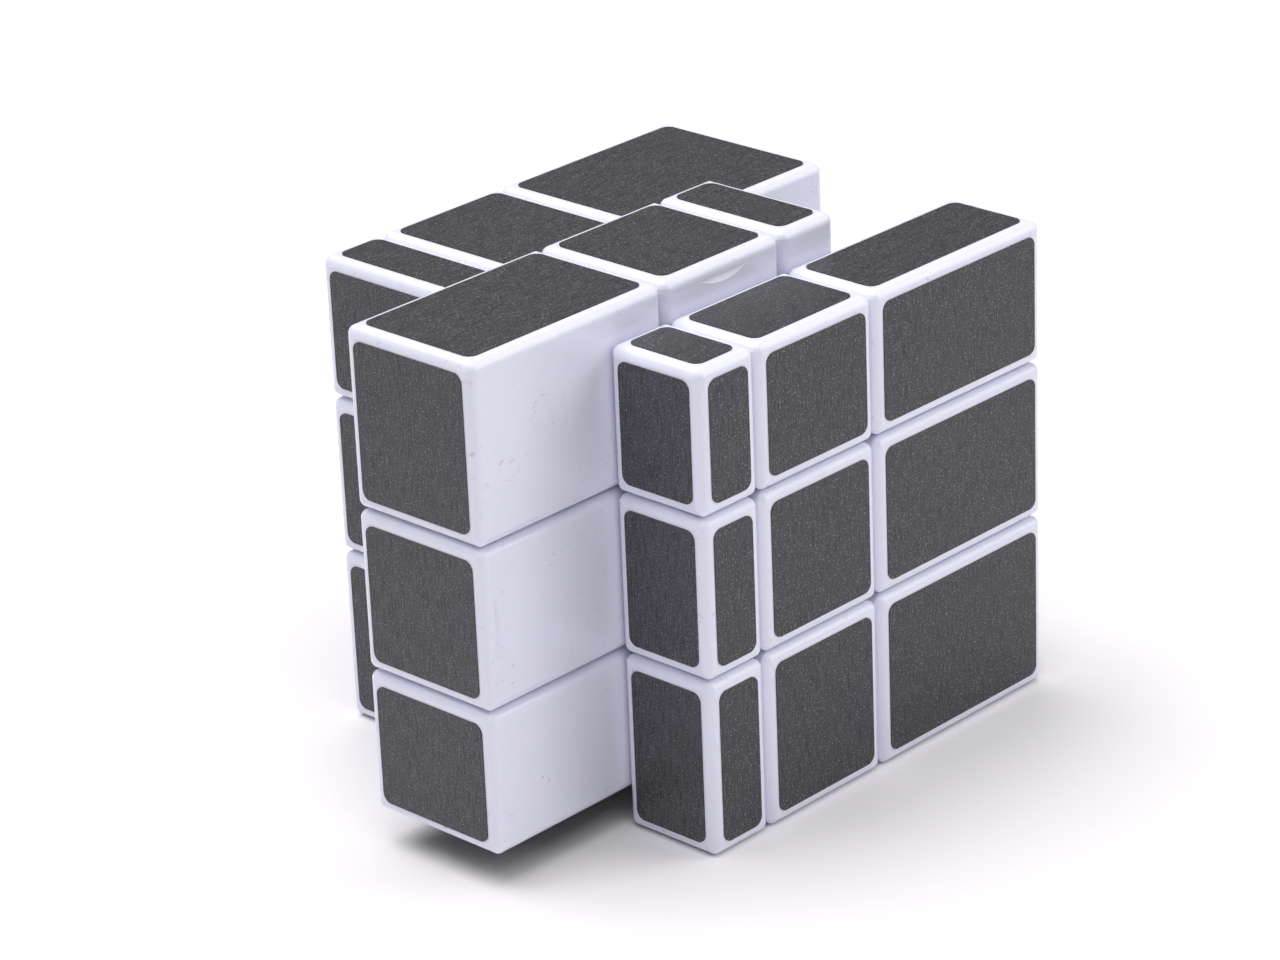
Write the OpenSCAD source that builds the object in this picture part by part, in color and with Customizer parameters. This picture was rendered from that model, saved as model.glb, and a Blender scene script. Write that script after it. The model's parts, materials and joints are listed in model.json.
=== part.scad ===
// Mirror block cube: a three-layer twisting puzzle whose layers differ in thickness and not in colour.
// It stands in the shape that it takes when its middle slice is turned half way round: the left and the
// right slab are home, and the middle slice is upside down and back to front between them.
// Millimetres. +X points to the right slab, -Y to the front, +Z up. The two slabs turn about the X axis
// through the core, and the origin is the middle of the footprint, on the surface that the puzzle stands on.

/* [Layers] */
// Side of the cube when every layer is home
cube_side = 57; // [47:0.5:72]
// Thickness of the middle layer on all three axes
mid_layer = 19; // [15.5:0.1:19.5]
// Thickness of the right slab; the left slab takes what is left
right_layer = 13; // [12:0.1:18]
// Thickness of a home slab's front layer, the thinnest of all
front_layer = 9; // [9:0.1:14]
// Thickness of a home slab's top layer
top_layer = 17; // [12:0.1:20.5]

/* [Blocks] */
// Wall of the hollow blocks
wall = 1.6; // [1.2:0.01:2]
// Radius on every edge of a block
edge_r = 1.2; // [0.8:0.01:1.5]
// Gap between neighbouring blocks
block_gap = 0.2; // [0.1:0.01:0.3]
// How far a centre block's cap reaches down past the round of its edges
cap_rim = 0.3; // [0.1:0.01:0.5]
// Length of the crescent notch that lifts a cap off
notch_l = 8; // [5:0.1:10]
// Height of that notch, below the cap
notch_h = 1; // [0.8:0.01:1.5]
// How deep the notch is cut into the side
notch_depth = 0.5; // [0.3:0.01:0.8]

/* [Foils] */
// Thickness of the brushed foils
foil_t = 0.12; // [0.08:0.01:0.2]
// Flat plastic left bare between a foil and the round of its block's edges
foil_inset = 0.2; // [0.1:0.01:0.6]
// Radius at a foil's corners
foil_r = 1.1; // [0.5:0.01:1.5]

/* [Mechanism] */
// Half the width of a centre's hub, and so where the feet of edges and corners begin
inner_cut = 6; // [5.4:0.01:7.2]
// Running gap between pieces inside the ball-shaped track
play = 0.3; // [0.2:0.01:0.4]
// How far the track's ball stands proud of the innermost corner of a corner block
neck = 1.75; // [1.5:0.01:1.8]
// Reach of the peg that joins a foot to its block, beyond the middle layer
peg_reach = 5; // [4.7:0.1:5.5]
// Half the length of an edge's peg
peg_half = 4; // [3:0.1:4.5]
// Gap round a peg
peg_gap = 0.05; // [0.03:0.01:0.1]
// Radius of the core's ball
core_r = 6.8; // [6:0.1:7]
// Radius of the six arms that the hubs turn on
arm_r = 2.6; // [2.2:0.01:3.2]
// Radial running clearance of a hub on its arm
arm_clearance = 0.06; // [0.02:0.01:0.1]
// Radius of the screws' shanks
screw_r = 1.25; // [1:0.01:1.6]
// Radius of the screws' heads
head_r = 2.9; // [2.5:0.01:3.2]
// Height of the screws' heads
head_h = 1.6; // [1.2:0.1:2]
// Radius of the spring wire
wire_r = 0.25; // [0.2:0.01:0.35]
// Working turns of each spring
spring_turns = 4; // [3:1:5]

/* [Hidden] */
$fn = 64;
TINY = 0.02;                // screw thread against its hole
SEAM = 0.015;               // cap against block, and other faces that seat on each other
SHANK_GAP = 0.1;            // screw shank in the holes of hub and washer
TIP_TRIM = 1.04;            // trimming ball of a block's corner, as a share of its edge radius
FAR = 60;                   // beyond every face
half = mid_layer / 2;
rest = cube_side - mid_layer;
cap_t = edge_r + cap_rim;
foil_margin = edge_r + foil_inset;
// Outer layers of a home slab as [low side, high side] on each axis
LAYERS = [[rest - right_layer, right_layer], [front_layer, rest - front_layer], [rest - top_layer, top_layer]];
core_at = [(LAYERS[0][0] - LAYERS[0][1]) / 2, 0, half + LAYERS[2][0] + foil_t];

track_r = half * sqrt(3) + neck;
feet_r = track_r - play / 2;
shell_r = track_r + play / 2;
hub_half = inner_cut - play / 2;
foot_near = inner_cut + play / 2;
peg_near = half + block_gap / 2 + peg_gap;
peg_far = half + peg_reach;
edge_foot_floor = foot_near * sqrt(2) + 0.5;    // a ball of this radius rounds an edge foot's inner end
corner_foot_floor = foot_near * sqrt(3) + 0.75; // and one of this radius a corner foot's

hub_low = core_r + play;
hub_top = sqrt(feet_r * feet_r - 2 * hub_half * hub_half);
arm_end = 8.8;              // from the core's centre
arm_bore_end = arm_end + 0.2; // the hub's floor stays clear of the arm's end
hub_floor = 1.2;            // thickness under the washer
well_low = arm_bore_end + hub_floor;
well_r = head_r + 0.8;      // room for the screw head to sink as a hub lifts
tube_wall = 1.1;            // round the screw well
washer_t = 0.5;
washer_r = head_r + 0.5;    // wider than the spring, narrower than the well
spigot_r = well_r + tube_wall;
spigot_l = 2;               // how deep a centre block plugs into its hub
head_top = half + front_layer - cap_t - 0.3; // just under the thinnest block's face
head_low = head_top - head_h;
spring_low = well_low + SEAM + washer_t;
coil_r = head_r - wire_r - 0.1; // the coil stays under the screw head
screw_tip = 3.2;            // from the core's centre
recess = [0.7, 3.4, 0.9];   // cross recess: width, span, depth
lip_t = 1;                  // rim under a cap: thickness and depth

SIDES = [-1, 0, 1];
// Every cell of the puzzle but the core, as [slab, front or back, bottom or top]
CELLS = [for (i = SIDES, j = SIDES, k = SIDES) if (reach([i, j, k]) > 0) [i, j, k]];
CAPPED = [for (c = CELLS) if (reach(c) == 1 && layer(c, axis_of(c)) > front_layer) c];

function reach(c) = abs(c[0]) + abs(c[1]) + abs(c[2]);
function axis_of(c) = c[0] != 0 ? 0 : c[1] != 0 ? 1 : 2;
// The middle slice is turned half way round, so its low and high layers change places
function home_side(c, a) = c[0] == 0 && a > 0 ? -c[a] : c[a];
function layer(c, a) = LAYERS[a][home_side(c, a) > 0 ? 1 : 0];
function low_high(s, near, far, mid) = s > 0 ? [near, far] : s < 0 ? [-far, -near] : [-mid, mid];
// The three [low, high] spans of a cell's block, drawn in by inset on every side
function block_spans(c, inset = 0) = [for (a = [0:2])
    low_high(c[a], half + block_gap / 2 + inset, half + layer(c, a) - inset, half - block_gap / 2 - inset)];
function spans(c, near, far, mid) = [for (a = [0:2]) low_high(c[a], near, far, mid)];
function sizes(s) = [for (a = [0:2]) s[a][1] - s[a][0]];
function lows(s) = [for (a = [0:2]) s[a][0]];

function slab_word(c) = ["left", "middle", "right"][c[0] + 1];
function kind_word(c) = ["", "centre", "edge", "corner"][reach(c)];
function place_word(c) = str(["_front", "", "_back"][c[1] + 1], ["_bottom", "", "_top"][c[2] + 1]);
function block_name(c) = str(slab_word(c), "_", kind_word(c), place_word(c));
function cap_name(c) = str(block_name(c), "_cap");

// Foils come in sets, one set to each flat side of a slab: [slab, axis, side, name]
FOIL_SETS = concat(
    [for (i = [-1, 1]) [i, 0, i, str("foils_", slab_word([i, 0, 0]), "_side")]],
    [for (i = SIDES, s = [-1, 1]) [i, 1, s, str("foils_", slab_word([i, 0, 0]), place_word([i, s, 0]))]],
    [for (i = SIDES, s = [-1, 1]) [i, 2, s, str("foils_", slab_word([i, 0, 0]), place_word([i, 0, s]))]]);
SLABS = [[-1, "left"], [0, "middle"], [1, "right"]];

// ---- shared shapes ----

module box(s) {
    translate(lows(s)) cube(sizes(s));
}

module rounded_plate(w, h, r) {
    translate([-w / 2 + r, -h / 2]) square([w - 2 * r, h]);
    translate([-w / 2, -h / 2 + r]) square([w, h - 2 * r]);
    for (x = [-1, 1], y = [-1, 1]) translate([x * (w / 2 - r), y * (h / 2 - r)]) circle(r);
}

// Turns +Z to the axis a, so that the first two sizes of a plate lie along the other two axes
module along(a) {
    if (a == 0) rotate([90, 0, 90]) children();
    else if (a == 1) rotate([-90, 0, 0]) mirror([0, 1, 0]) children();
    else children();
}

// A bar of the span's length along the axis a, whose section is the span's rounded rectangle
module rounded_bar(s, a, r) {
    z = sizes(s);
    mid = [for (b = [0:2]) (s[b][0] + s[b][1]) / 2];
    w = a == 0 ? z[1] : z[0];
    h = a == 2 ? z[1] : z[2];
    translate(mid) along(a) translate([0, 0, -z[a] / 2]) linear_extrude(z[a]) rounded_plate(w, h, r);
}

// Three bars leave a pointed tip at each corner, so a ball a little larger than the edges trims it
module rounded_box(s, r) {
    tip_r = r * TIP_TRIM;
    difference() {
        intersection() {
            rounded_bar(s, 0, r);
            rounded_bar(s, 1, r);
            rounded_bar(s, 2, r);
        }
        for (x = [0, 1], y = [0, 1], z = [0, 1])
            translate([s[0][x], s[1][y], s[2][z]])
                mirror([x, 0, 0]) mirror([0, y, 0]) mirror([0, 0, z])
                    difference() {
                        translate([-1, -1, -1]) cube(r + 1);
                        translate([r, r, r]) sphere(r = tip_r);
                    }
    }
}

// Turns a shape drawn along +Z to the way that a centre faces
module facing(c) {
    if (c[0] != 0) rotate([0, 90 * c[0], 0]) children();
    else if (c[1] != 0) rotate([-90 * c[1], 0, 0]) children();
    else rotate([c[2] > 0 ? 0 : 180, 0, 0]) children();
}

// ---- the core and what is screwed to it ----

module core_spider() {
    color("dimgray") difference() {
        union() {
            sphere(r = core_r);
            for (c = CELLS) if (reach(c) == 1) facing(c) cylinder(h = arm_end, r = arm_r);
        }
        for (c = CELLS) if (reach(c) == 1)
            facing(c) translate([0, 0, screw_tip - SEAM]) cylinder(h = arm_end, r = screw_r + TINY);
    }
}

module core_screw() {
    color("silver") difference() {
        union() {
            translate([0, 0, screw_tip]) cylinder(h = head_low - screw_tip, r = screw_r);
            translate([0, 0, head_low]) cylinder(h = head_h, r = head_r);
        }
        for (turn = [0, 90]) rotate([0, 0, turn])
            translate([-recess[0] / 2, -recess[1] / 2, head_top - recess[2]])
                cube([recess[0], recess[1], recess[2] + 1]);
    }
}

module washer() {
    color("gainsboro") translate([0, 0, well_low + SEAM]) difference() {
        cylinder(h = washer_t, r = washer_r);
        translate([0, 0, -1]) cylinder(h = washer_t + 2, r = screw_r + SHANK_GAP);
    }
}

// A round wire swept along a helix between the washer and the screw's head
module coil_spring() {
    sides = 6;
    per_turn = 12;
    rings = spring_turns * per_turn;
    low = spring_low + wire_r + SEAM;
    rise = head_low - wire_r - SEAM - low;
    points = [for (n = [0:rings], m = [0:sides - 1])
        let (turn = n * 360 / per_turn, bend = m * 360 / sides, out = coil_r + wire_r * cos(bend))
        [out * cos(turn), out * sin(turn), low + rise * n / rings + wire_r * sin(bend)]];
    skin = [for (n = [0:rings - 1], m = [0:sides - 1])
        let (p = n * sides + m, q = n * sides + (m + 1) % sides)
        [p, p + sides, q + sides, q]];
    ends = [[for (m = [0:sides - 1]) m], [for (m = [sides - 1:-1:0]) rings * sides + m]];
    color("lightsteelblue") polyhedron(points, concat(skin, ends));
}

// Square hub that turns on an arm of the core, with the well that holds washer, spring and screw head
module centre_hub() {
    color("whitesmoke") difference() {
        translate([-hub_half, -hub_half, hub_low]) cube([2 * hub_half, 2 * hub_half, hub_top - hub_low]);
        translate([0, 0, hub_low - 1]) cylinder(h = arm_bore_end - hub_low + 1, r = arm_r + arm_clearance);
        translate([0, 0, hub_low]) cylinder(h = hub_top, r = screw_r + SHANK_GAP);
        translate([0, 0, well_low]) cylinder(h = hub_top, r = well_r);
        translate([0, 0, hub_top - spigot_l]) cylinder(h = hub_top, r = spigot_r + peg_gap);
    }
}

// ---- feet: they run under the neighbouring pieces and hold the blocks in ----

module foot(c, floor_r) {
    color("whitesmoke") union() {
        difference() {
            intersection() {
                sphere(r = feet_r);
                box(spans(c, foot_near, FAR, hub_half));
            }
            sphere(r = floor_r);
        }
        box(spans(c, peg_near, peg_far, peg_half));
    }
}

module edge_foot(c) {
    foot(c, edge_foot_floor);
}

module corner_foot(c) {
    foot(c, corner_foot_floor);
}

// ---- the blocks that show ----

module hollow_block(c) {
    color("white") difference() {
        rounded_box(block_spans(c), edge_r);
        sphere(r = shell_r);
        difference() {
            box(block_spans(c, wall));
            sphere(r = shell_r + wall);
        }
        box(spans(c, 0, peg_far + peg_gap, peg_half + peg_gap));
    }
}

module edge_block(c) {
    hollow_block(c);
}

module corner_block(c) {
    hollow_block(c);
}

// Everything between two distances from the core along a centre's axis
module slice(c, from, to) {
    facing(c) translate([-FAR / 2, -FAR / 2, from]) cube([FAR, FAR, to - from]);
}

function face_at(c) = half + layer(c, axis_of(c));
function has_cap(c) = layer(c, axis_of(c)) > front_layer;

// The crescent is a shallow ramp, cut by a drum that leans out of the block: deepest along the cap's edge,
// it runs out in an arc below. It is on the right side, or at the back on the two slabs' own centres.
module lifting_notch(c) {
    lean = atan(notch_depth / notch_h);
    drum_r = (notch_l * notch_l / 4 + notch_depth * notch_depth) / (2 * notch_depth);
    side = half - block_gap / 2;
    facing(c) rotate([0, 0, c[0] != 0 ? 90 : 0]) translate([side - notch_depth, 0, face_at(c) - cap_t])
        rotate([0, -lean, 0]) translate([drum_r, 0, -drum_r]) cylinder(h = 2 * drum_r, r = drum_r);
}

// Under a cap only the edges along the block are seen, and those at its inner end lie inside the track
module centre_form(c) {
    if (has_cap(c)) rounded_bar(block_spans(c), axis_of(c), edge_r);
    else rounded_box(block_spans(c), edge_r);
}

module centre_block(c) {
    seam_at = has_cap(c) ? face_at(c) - cap_t - SEAM : face_at(c);
    well_end = face_at(c) - cap_t;
    color("white") difference() {
        union() {
            difference() {
                centre_form(c);
                facing(c) sphere(r = shell_r);
            }
            facing(c) translate([-hub_half, -hub_half, hub_top + SEAM])
                cube([2 * hub_half, 2 * hub_half, track_r - hub_top]);
            facing(c) translate([0, 0, hub_top - spigot_l + SEAM]) cylinder(h = spigot_l + 1, r = spigot_r);
        }
        facing(c) cylinder(h = well_end, r = well_r);
        if (has_cap(c)) {
            slice(c, seam_at, FAR);
            lifting_notch(c);
            difference() {
                box(spans(c, half + block_gap / 2 + wall, FAR, half - block_gap / 2 - wall));
                facing(c) sphere(r = shell_r + wall);
                facing(c) cylinder(h = FAR, r = spigot_r);
            }
        }
    }
}

module centre_cap(c) {
    under = face_at(c) - cap_t;
    lip_half = half - block_gap / 2 - wall - peg_gap;
    color("white") union() {
        intersection() {
            rounded_box(block_spans(c), edge_r);
            slice(c, under, FAR);
        }
        facing(c) translate([0, 0, under - lip_t]) difference() {
            translate([-lip_half, -lip_half, 0]) cube([2 * lip_half, 2 * lip_half, lip_t + 0.2]);
            translate([lip_t - lip_half, lip_t - lip_half, -1]) cube([2, 2, 3] * (lip_half - lip_t));
        }
    }
}

// ---- foils ----

// The foil on the outer face of cell c across the axis a
module foil(c, a) {
    s = block_spans(c);
    out = half + layer(c, a);
    flat = [for (b = [0:2]) b == a
        ? low_high(c[a], out, out + foil_t, 0)
        : [s[b][0] + foil_margin, s[b][1] - foil_margin]];
    color([0.2, 0.2, 0.21]) rounded_bar(flat, a, foil_r);
}

module foil_set(f) {
    for (c = CELLS) if (c[0] == f[0] && c[f[1]] == f[2]) foil(c, f[1]);
}

// ---- nodes ----

module in_place() {
    translate(core_at) children();
}

in_place() core_spider();  // core
in_place()  // core_screws
    for (c = CELLS) if (reach(c) == 1) facing(c) core_screw();
in_place()  // core_washers
    for (c = CELLS) if (reach(c) == 1) facing(c) washer();
in_place()  // core_springs
    for (c = CELLS) if (reach(c) == 1) facing(c) coil_spring();
for (s = SLABS) {
    in_place()
        for (c = CELLS) if (c[0] == s[0] && reach(c) == 1) facing(c) centre_hub();
    in_place()
        for (c = CELLS) if (c[0] == s[0] && reach(c) == 2) edge_foot(c);
    in_place()
        for (c = CELLS) if (c[0] == s[0] && reach(c) == 3) corner_foot(c);
}
for (c = CELLS) {
    if (reach(c) == 1) in_place() centre_block(c);
    if (reach(c) == 2) in_place() edge_block(c);
    if (reach(c) == 3) in_place() corner_block(c);
}
for (c = CAPPED) in_place() centre_cap(c);
for (f = FOIL_SETS) in_place() foil_set(f);
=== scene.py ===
# %% [markdown]
# # A mirror block cube
# The object is a twisting puzzle made of glossy white blocks with dark brushed foils. Every layer has
# its own thickness. The shapes that move and fit come from a CAD model, which this file loads first.
# What is made here is the looks: the plastics, the foils, the steel, and a soft white studio.

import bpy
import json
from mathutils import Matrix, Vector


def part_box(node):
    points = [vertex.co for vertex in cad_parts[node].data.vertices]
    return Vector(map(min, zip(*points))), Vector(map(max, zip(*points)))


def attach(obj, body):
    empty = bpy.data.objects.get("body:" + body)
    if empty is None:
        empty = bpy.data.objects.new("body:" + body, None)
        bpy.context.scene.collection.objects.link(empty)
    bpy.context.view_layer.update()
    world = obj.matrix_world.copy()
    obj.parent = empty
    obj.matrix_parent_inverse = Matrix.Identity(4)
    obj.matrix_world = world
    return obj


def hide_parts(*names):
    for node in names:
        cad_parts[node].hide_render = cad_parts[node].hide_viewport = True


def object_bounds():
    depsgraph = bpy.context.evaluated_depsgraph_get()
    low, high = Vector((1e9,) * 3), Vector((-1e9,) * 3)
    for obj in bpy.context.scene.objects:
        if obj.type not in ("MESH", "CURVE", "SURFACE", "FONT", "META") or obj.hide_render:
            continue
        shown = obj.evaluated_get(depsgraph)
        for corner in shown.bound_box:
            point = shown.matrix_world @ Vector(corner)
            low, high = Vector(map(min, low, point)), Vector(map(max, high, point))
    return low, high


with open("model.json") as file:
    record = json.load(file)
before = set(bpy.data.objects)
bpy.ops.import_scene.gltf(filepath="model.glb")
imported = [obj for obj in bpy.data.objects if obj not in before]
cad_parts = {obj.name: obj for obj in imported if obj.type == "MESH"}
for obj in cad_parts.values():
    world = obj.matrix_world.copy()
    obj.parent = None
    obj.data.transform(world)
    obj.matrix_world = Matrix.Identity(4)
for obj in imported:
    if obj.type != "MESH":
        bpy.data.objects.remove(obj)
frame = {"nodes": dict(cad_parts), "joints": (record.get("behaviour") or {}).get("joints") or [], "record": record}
CAD_LOW, CAD_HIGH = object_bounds()
print("CAD box in mm:", [round(1000 * (h - l), 2) for l, h in zip(CAD_LOW, CAD_HIGH)])

# %% Places that everything else is worked out from
import json
import math

import bpy
from mathutils import Matrix, Vector

MM = 0.001
core_centre = Vector(frame["joints"][0]["pos_m"])
slot_of = {part["node"]: part["material_slot"] for part in frame["record"]["subparts"]}
print("core centre in mm:", [round(c / MM, 2) for c in core_centre], "and", len(slot_of), "nodes")

# %% [markdown]
# ## Colours and nodes
# A colour that is picked from a screen is sRGB, but a shader adds up light, so it wants linear numbers.
# One function turns the first into the second. A second function adds a node with its settings and
# links, which keeps each material short enough to read as a recipe.

# %% Turn an sRGB hex colour to linear
def linear(hex_colour):
    def channel(v):
        return v / 12.92 if v <= 0.04045 else ((v + 0.055) / 1.055) ** 2.4
    return tuple(channel(int(hex_colour[i:i + 2], 16) / 255) for i in (1, 3, 5)) + (1.0,)


print("mid grey #808080 is", round(linear("#808080")[0], 3), "in linear light")


# %% Add a node, with its settings and what is linked into it
def add(tree, kind, settings=None, **inputs):
    node = tree.nodes.new(kind)
    for name, value in (settings or {}).items():
        setattr(node, name, value)
    for name, value in inputs.items():
        socket = node.inputs[int(name[1:])] if name[0] == "_" else node.inputs[name.replace("_", " ")]
        if isinstance(value, bpy.types.NodeSocket):
            tree.links.new(value, socket)
        else:
            socket.default_value = value
    return node


# %% Start a material: a shader with its constant values, and the object's own coordinates
def start_material(name, **constants):
    material = bpy.data.materials.new(name)
    material.use_nodes = True
    tree = material.node_tree
    shader = tree.nodes["Principled BSDF"]
    for socket, value in constants.items():
        shader.inputs[socket.replace("_", " ")].default_value = value
    place = add(tree, "ShaderNodeTexCoord").outputs["Object"]
    return material, tree, shader, place


# %% A noise whose grain has a real size in millimetres along each axis
def grain(tree, place, size_mm, detail=2.0, roughness=0.5, shift=0.0):
    scale = [1 / (s * MM) for s in size_mm]
    stretched = add(tree, "ShaderNodeMapping", Vector=place, Location=(shift,) * 3, Scale=scale)
    return add(tree, "ShaderNodeTexNoise", Vector=stretched.outputs[0], Scale=1.0,
               Detail=detail, Roughness=roughness).outputs["Fac"]


# %% A value between two limits, which follows another between two others
def remap(tree, value, low, high, to_low, to_high):
    return add(tree, "ShaderNodeMapRange", _0=value, _1=low, _2=high, _3=to_low, _4=to_high).outputs[0]


# %% Mix two colours by a value
def mix(tree, share, first, second):
    node = add(tree, "ShaderNodeMix", {"data_type": "RGBA"}, _0=share, _6=first, _7=second)
    return node.outputs[2]


# %% [markdown]
# ## Glossy white ABS
# The blocks are ABS, moulded in a polished steel tool. That gives the eye a hard, clean gloss, a body
# colour with a little blue from the brightener in it, and a surface that is not perfectly flat: the
# skin shrinks slightly over the thick spots as it cools. Hands leave their mark too: the gloss is broken
# by soft patches of skin grease, and small grey scuffs come in clusters.

# %% Glossy white ABS, polished in the mould and handled
GREASE_MM = 9
RUBBED_MM = 6
SMUDGE_MM = (1.3, 1.3, 0.9)
SHRINK_MM = 5


def polished_white_abs():
    material, tree, shader, place = start_material("polished_white_abs", IOR=1.54, Specular_IOR_Level=0.5)
    grease = grain(tree, place, (GREASE_MM,) * 3, detail=3, roughness=0.6)
    tree.links.new(remap(tree, grease, 0.25, 0.75, 0.17, 0.26), shader.inputs["Roughness"])
    body = mix(tree, grease, linear("#E5E5F6"), linear("#EAEAF9"))
    rubbed = remap(tree, grain(tree, place, (RUBBED_MM,) * 3, detail=2, shift=2.6), 0.5, 0.62, 0.0, 1.0)
    smudges = remap(tree, grain(tree, place, SMUDGE_MM, detail=4, roughness=0.7, shift=4.2),
                    0.6, 0.74, 0.0, 0.6)
    scuffs = add(tree, "ShaderNodeMath", {"operation": "MULTIPLY"}, _0=rubbed, _1=smudges).outputs[0]
    tree.links.new(mix(tree, scuffs, body, linear("#94939A")), shader.inputs["Base Color"])
    shrink = grain(tree, place, (SHRINK_MM,) * 3, detail=1)
    bump = add(tree, "ShaderNodeBump", Strength=0.25, Distance=0.02 * MM, Height=shrink)
    tree.links.new(bump.outputs[0], shader.inputs["Normal"])
    return material


WHITE_ABS = polished_white_abs()
print("made", WHITE_ABS.name, "with skin-grease patches of", GREASE_MM, "mm")

# %% [markdown]
# ## Brushed dark foil
# Each outer face carries a foil: a film with a metallised layer under a dark lacquer, brushed in one
# direction. The brushing leaves hairlines about a tenth of a millimetre wide. They are drawn twice as
# coarse here, because finer ones average out to a flat grey at this size. Broad bands vary them, and
# tiny light specks are painted into the colour between them: painted glints, where bits of the metal
# layer would catch the light. The hairlines run upright on the upright faces and from front to back on
# the flat ones. It is one foil on every face, so the tones should be the same, but the front and back
# ones are painted about a fifth lighter: painted light, a setting chosen for this light. A foil keeps
# its tone when its slab turns.

# %% Dark hairline-brushed foil
HAIRLINE_MM = 0.2
STROKE_MM = 2.4
GLINT_MM = 0.2
BAND_SCALE = 5
TONE = 0.80
# The front and back foils are painted about a fifth lighter than the rest: painted light, one foil lit two ways.
FRONT_PAINTED_LIGHT_TONE = 0.95


def toned(hex_colour, tone):
    return tuple(tone * channel for channel in linear(hex_colour)[:3]) + (1.0,)


def brushed_dark_foil(name, stroke_axis, tone):
    material, tree, shader, place = start_material(name, Metallic=0.4, IOR=1.5, Specular_IOR_Level=0.4)
    groove, ridge, band, glint_colour = (toned(c, tone) for c in ("#313034", "#605F64", "#504F54", "#A5A3A0"))
    stroke = [STROKE_MM if axis == stroke_axis else HAIRLINE_MM for axis in "xyz"]
    hairlines = grain(tree, place, stroke, detail=3, roughness=0.7)
    bands = grain(tree, place, [BAND_SCALE * s for s in stroke], detail=2, shift=1.7)
    glint_noise = grain(tree, place, (GLINT_MM,) * 3, detail=1, shift=3.1)
    lines = mix(tree, remap(tree, hairlines, 0.32, 0.68, 0, 1), groove, ridge)
    banded = mix(tree, remap(tree, bands, 0.3, 0.7, 0, 0.4), lines, band)
    # Light specks painted into the colour: painted glints, where bits of the metal layer catch the light.
    painted_glints = remap(tree, glint_noise, 0.6, 0.74, 0.0, 0.8)
    with_painted_glints = mix(tree, painted_glints, banded, glint_colour)
    tree.links.new(with_painted_glints, shader.inputs["Base Color"])
    tree.links.new(remap(tree, hairlines, 0.3, 0.7, 0.4, 0.54), shader.inputs["Roughness"])
    bump = add(tree, "ShaderNodeBump", Strength=0.5, Distance=0.02 * MM, Height=hairlines)
    tree.links.new(bump.outputs[0], shader.inputs["Normal"])
    return material


FOIL_FRONT_PAINTED_LIGHTER = brushed_dark_foil("brushed_foil_front_painted_lighter", "z", FRONT_PAINTED_LIGHT_TONE)
FOIL_SIDE = brushed_dark_foil("brushed_foil_side", "z", TONE)
FOIL_FLAT = brushed_dark_foil("brushed_foil_flat", "y", TONE)
print("made three foils with hairlines of", HAIRLINE_MM, "mm")

# %% [markdown]
# ## The plastics inside
# The feet and hubs slide on each other, so they come from a mould that is left satin: a fine, even
# texture holds the grease between them. The core is black nylon, tougher and duller than ABS, with the
# soft waxy sheen that nylon has. Both are seen only when the puzzle is taken apart.

# %% Satin white ABS for the sliding feet, and moulded black nylon for the core
def satin_plastic(name, first, second, rough_low, rough_high, texture_mm):
    material, tree, shader, place = start_material(name, IOR=1.53)
    cloud = grain(tree, place, (4, 4, 4), detail=3)
    tree.links.new(mix(tree, cloud, linear(first), linear(second)), shader.inputs["Base Color"])
    tree.links.new(remap(tree, cloud, 0.3, 0.7, rough_low, rough_high), shader.inputs["Roughness"])
    texture = grain(tree, place, (texture_mm,) * 3, detail=2)
    bump = add(tree, "ShaderNodeBump", Strength=0.4, Distance=0.01 * MM, Height=texture)
    tree.links.new(bump.outputs[0], shader.inputs["Normal"])
    return material


SATIN_ABS = satin_plastic("satin_moulded_abs", "#D9D8D4", "#E2E1DE", 0.38, 0.5, 0.25)
BLACK_NYLON = satin_plastic("moulded_black_nylon", "#1F1F22", "#2B2B2F", 0.42, 0.58, 0.3)
print("made", SATIN_ABS.name, "and", BLACK_NYLON.name)

# %% [markdown]
# ## Zinc-plated steel
# Screws, washers and springs are steel with a bright zinc plating. Plating is a metal skin, so it is
# fully metallic, with fine drawing or turning marks that spread its highlights. A chromate dip tints it
# a little blue in places.

# %% Zinc-plated steel
def zinc_plated_steel():
    material, tree, shader, place = start_material("zinc_plated_steel", Metallic=1.0)
    tint = grain(tree, place, (1.5, 1.5, 1.5), detail=3)
    tree.links.new(mix(tree, tint, linear("#BFC1C4"), linear("#B3BAC6")), shader.inputs["Base Color"])
    marks = grain(tree, place, (0.15, 0.15, 0.15), detail=2)
    tree.links.new(remap(tree, marks, 0.3, 0.7, 0.28, 0.42), shader.inputs["Roughness"])
    return material


ZINC_STEEL = zinc_plated_steel()
print("made", ZINC_STEEL.name)

# %% [markdown]
# ## Dress the CAD nodes
# The model's record says which material slot each node takes. The last word of a foil's name says
# which way it faces, and so which of the three foils it takes.

# %% Give every CAD node its material
FINISHES = {"white_abs": WHITE_ABS, "bearing_abs": SATIN_ABS, "core_nylon": BLACK_NYLON,
            "zinc_steel": ZINC_STEEL}
# Front and back faces take the copy of the foil that is painted lighter: painted light.
FOILS = {"front": FOIL_FRONT_PAINTED_LIGHTER, "back": FOIL_FRONT_PAINTED_LIGHTER, "side": FOIL_SIDE,
         "top": FOIL_FLAT, "bottom": FOIL_FLAT}


def finish_for(node):
    slot = slot_of[node]
    return FOILS[node.rsplit("_", 1)[1]] if slot == "brushed_foil" else FINISHES[slot]


for name, piece in frame["nodes"].items():
    piece.data.materials.clear()
    piece.data.materials.append(finish_for(name))
print("dressed", len(frame["nodes"]), "nodes")

# %% [markdown]
# ## The six springs
# A spring is round wire wound on a mandrel. The CAD model has a coarse one, so each is wound again here
# as a smooth curve with a round section. The first and last turns of a real compression spring are
# wound flat, so that it stands square on its washer: the climb starts and ends gently.

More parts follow.
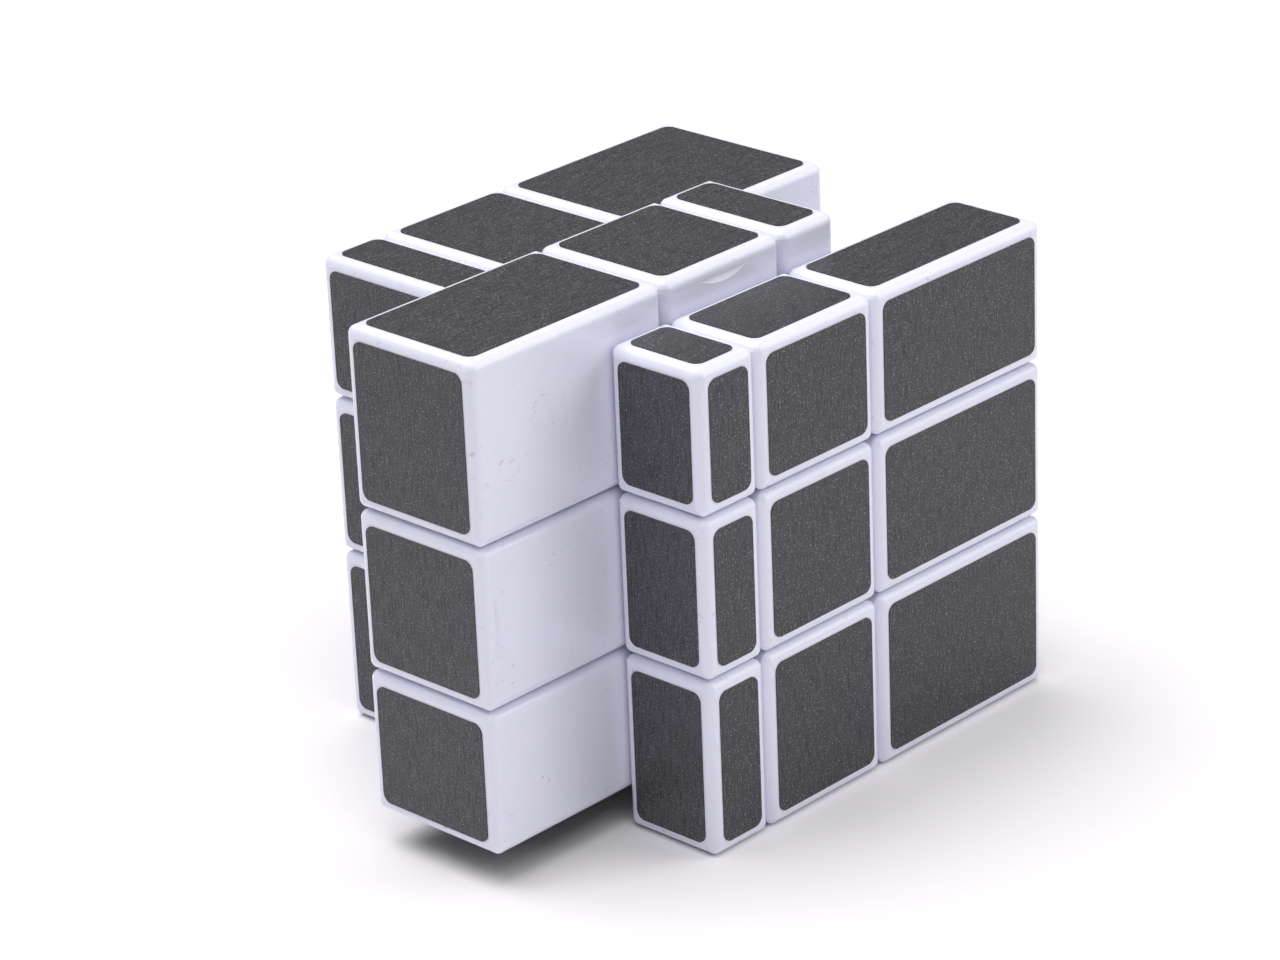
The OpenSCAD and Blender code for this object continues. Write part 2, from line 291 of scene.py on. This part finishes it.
# %% Measure the room that the CAD springs take
SPRING_TURNS = 4
WIRE_R = 0.25 * MM
coil_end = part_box("core_springs")[1].z - core_centre.z
coil_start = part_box("core_washers")[1].z - core_centre.z
print("a spring stands from", round(coil_start / MM, 2), "to", round(coil_end / MM, 2),
      "mm from the core")


# %% Wind one spring along an axis
END_FLATNESS = 0.6


def wind_spring(name, direction, coil_r, low, high, points_per_turn=24):
    turn_axis = Vector((0, 0, 1)).rotation_difference(direction).to_matrix()
    count = SPRING_TURNS * points_per_turn
    curve = bpy.data.curves.new(name, "CURVE")
    curve.dimensions = "3D"
    curve.bevel_depth = WIRE_R
    curve.bevel_resolution = 3
    curve.use_fill_caps = True
    wire = curve.splines.new("POLY")
    wire.points.add(count)
    for n, point in enumerate(wire.points):
        share = n / count
        climb = share - math.sin(2 * math.pi * share) / (2 * math.pi) * END_FLATNESS
        turn = 2 * math.pi * SPRING_TURNS * share
        at = Vector((coil_r * math.cos(turn), coil_r * math.sin(turn), low + (high - low) * climb))
        point.co = (*(core_centre + turn_axis @ at), 1)
    curve.materials.append(ZINC_STEEL)
    spring = bpy.data.objects.new(name, curve)
    bpy.context.scene.collection.objects.link(spring)
    return spring


# %% Wind all six, one on each arm
COIL_R = 2.55 * MM
SEAT_GAP = 1.3 * WIRE_R
HEAD_GAP = 1.1 * WIRE_R
DIRECTIONS = {"left": (-1, 0, 0), "right": (1, 0, 0), "front": (0, -1, 0),
              "back": (0, 1, 0), "bottom": (0, 0, -1), "top": (0, 0, 1)}
for side, direction in DIRECTIONS.items():
    spring = wind_spring(f"spring_{side}", Vector(direction), COIL_R,
                         coil_start + SEAT_GAP, coil_end - HEAD_GAP)
    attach(spring, "middle_slab")
    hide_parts("core_springs")
print("wound", len(DIRECTIONS), "springs of", SPRING_TURNS, "turns")

# %% [markdown]
# ## The floor
# The puzzle stands on a plain pale sheet. It is matt, so it takes soft shadows and shows no reflection,
# and it is far larger than the view, so no edge of it shows. It lies a hair below the lowest foils, so
# that two faces never share one plane.

# %% Matt white paper for the floor
SHADE_MM = 60


def matt_paper():
    material, tree, shader, place = start_material(
        "matt_white_paper", Specular_IOR_Level=0.1, Roughness=0.9)
    shade = grain(tree, place, (SHADE_MM,) * 3, detail=4)
    tree.links.new(mix(tree, shade, linear("#F3F1F3"), linear("#F6F4F6")), shader.inputs["Base Color"])
    return material


# %% Lay the floor
FLOOR_HALF = 4.0
FLOOR_GAP = 0.02 * MM
FLOOR_Z = CAD_LOW.z - FLOOR_GAP
corners = [(x * FLOOR_HALF, y * FLOOR_HALF, FLOOR_Z) for x, y in ((-1, -1), (1, -1), (1, 1), (-1, 1))]
floor_mesh = bpy.data.meshes.new("floor")
floor_mesh.from_pydata(corners, [], [(0, 1, 2, 3)])
floor_mesh.materials.append(matt_paper())
floor = bpy.data.objects.new("floor", floor_mesh)
bpy.context.scene.collection.objects.link(floor)
print("floor is", 2 * FLOOR_HALF, "m wide")

# %% [markdown]
# ## The light
# A product photographer lights a white object in a tent: big soft panels all round and one overhead, so
# that no shadow is hard. The world's colour stands for the white cloth between the panels. Each panel
# is a round area lamp, large against the object. The strongest hangs high on the left and the next one
# low at the back right. The one low at the front right is faint.

# %% White cloth between the panels
CLOTH = 0.163
world = bpy.data.worlds.new("light_tent")
bpy.context.scene.world = world
world.use_nodes = True
tent = world.node_tree.nodes["Background"]
tent.inputs["Color"].default_value = linear("#FDFCFF")
tent.inputs["Strength"].default_value = CLOTH
bpy.context.scene.view_settings.view_transform = "Standard"
print("the cloth's strength is", CLOTH)


# %% A soft round panel that faces the object
PANEL_WIDTH = 0.8
PANEL_DISTANCE = 1.1


def towards(azimuth, elevation):
    a, e = math.radians(azimuth), math.radians(elevation)
    return Vector((math.sin(a) * math.cos(e), -math.cos(a) * math.cos(e), math.sin(e)))


def soft_panel(name, azimuth, elevation, watts):
    lamp = bpy.data.lights.new(name, "AREA")
    lamp.shape = "DISK"
    lamp.size = PANEL_WIDTH
    lamp.energy = watts
    panel = bpy.data.objects.new(name, lamp)
    direction = towards(azimuth, elevation)
    panel.location = core_centre + direction * PANEL_DISTANCE
    panel.rotation_euler = (-direction).to_track_quat("-Z", "Y").to_euler()
    panel.visible_camera = False
    bpy.context.scene.collection.objects.link(panel)


# %% Hang the panels: name, azimuth from the front, elevation, watts
PANELS = [("overhead", 0, 90, 3.12), ("high_front", 0, 62, 1.55), ("high_right", 60, 62, 2.48),
          ("high_back_left", 240, 62, 2.61), ("high_left", 300, 62, 5.23),
          ("low_back_right", 135, 28, 4.07), ("low_front_right", 45, 28, 0.3)]
for panel in PANELS:
    soft_panel(*panel)
print("hung", len(PANELS), "panels")

# %% [markdown]
# ## The camera
# The camera looks down on the corner between the front and the right side with a long lens, so that
# edges that are parallel on the object stay nearly parallel in the picture. It is described as a
# photographer would: how far round, how high, how far away, how much it leans, and how far its aim is
# from the core.

# %% Stand the camera
AZIMUTH = 43.96
ELEVATION = 23.40
LEAN = math.radians(-2.434)
DISTANCE = 501.9 * MM
AIM_RIGHT, AIM_UP = -3.213 * MM, 1.859 * MM
LENS_MM = 126.45
NEAREST = 10 * MM

back = towards(AZIMUTH, ELEVATION)
level = towards(AZIMUTH + 90, 0)
right = level * math.cos(LEAN) + back.cross(level) * math.sin(LEAN)
up = back.cross(right)
camera = bpy.data.objects.new("camera", bpy.data.cameras.new("camera"))
camera.data.lens = LENS_MM
camera.data.clip_start = NEAREST
stand = core_centre + back * DISTANCE + right * AIM_RIGHT + up * AIM_UP
camera.matrix_world = Matrix.Translation(stand) @ Matrix((right, up, back)).transposed().to_4x4()
bpy.context.scene.collection.objects.link(camera)
bpy.context.scene.camera = camera
print("camera stands at", [round(c / MM, 1) for c in stand], "mm")
